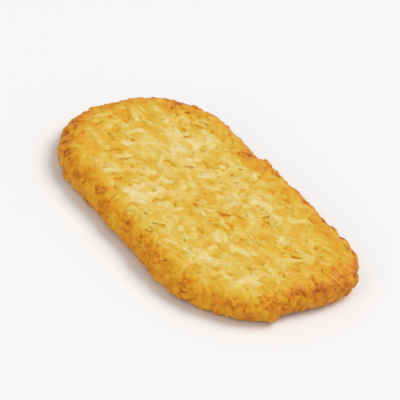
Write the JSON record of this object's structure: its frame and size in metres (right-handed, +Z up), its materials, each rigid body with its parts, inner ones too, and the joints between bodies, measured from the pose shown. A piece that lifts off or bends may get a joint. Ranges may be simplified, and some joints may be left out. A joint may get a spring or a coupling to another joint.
{
  "type": "hash brown patty",
  "caption": "Fried hash brown patty of pressed potato shreds: a flat rounded rectangle with a craggy golden rim, lying on its pressed underside.",
  "frame": {"origin": "middle of the base, on the surface that the patty lies on", "axes": "+X along the patty's length, +Y across its width, +Z up through its thickness"},
  "size_m": [0.1118, 0.0706, 0.0102],
  "materials": {
    "fried_potato": "fried potato shreds: pale yellow in the middle, golden brown at the rim, with a faint sheen of oil"
  },
  "bodies": {
    "root": {"patty": "fried_potato"}
  },
  "joints": []
}
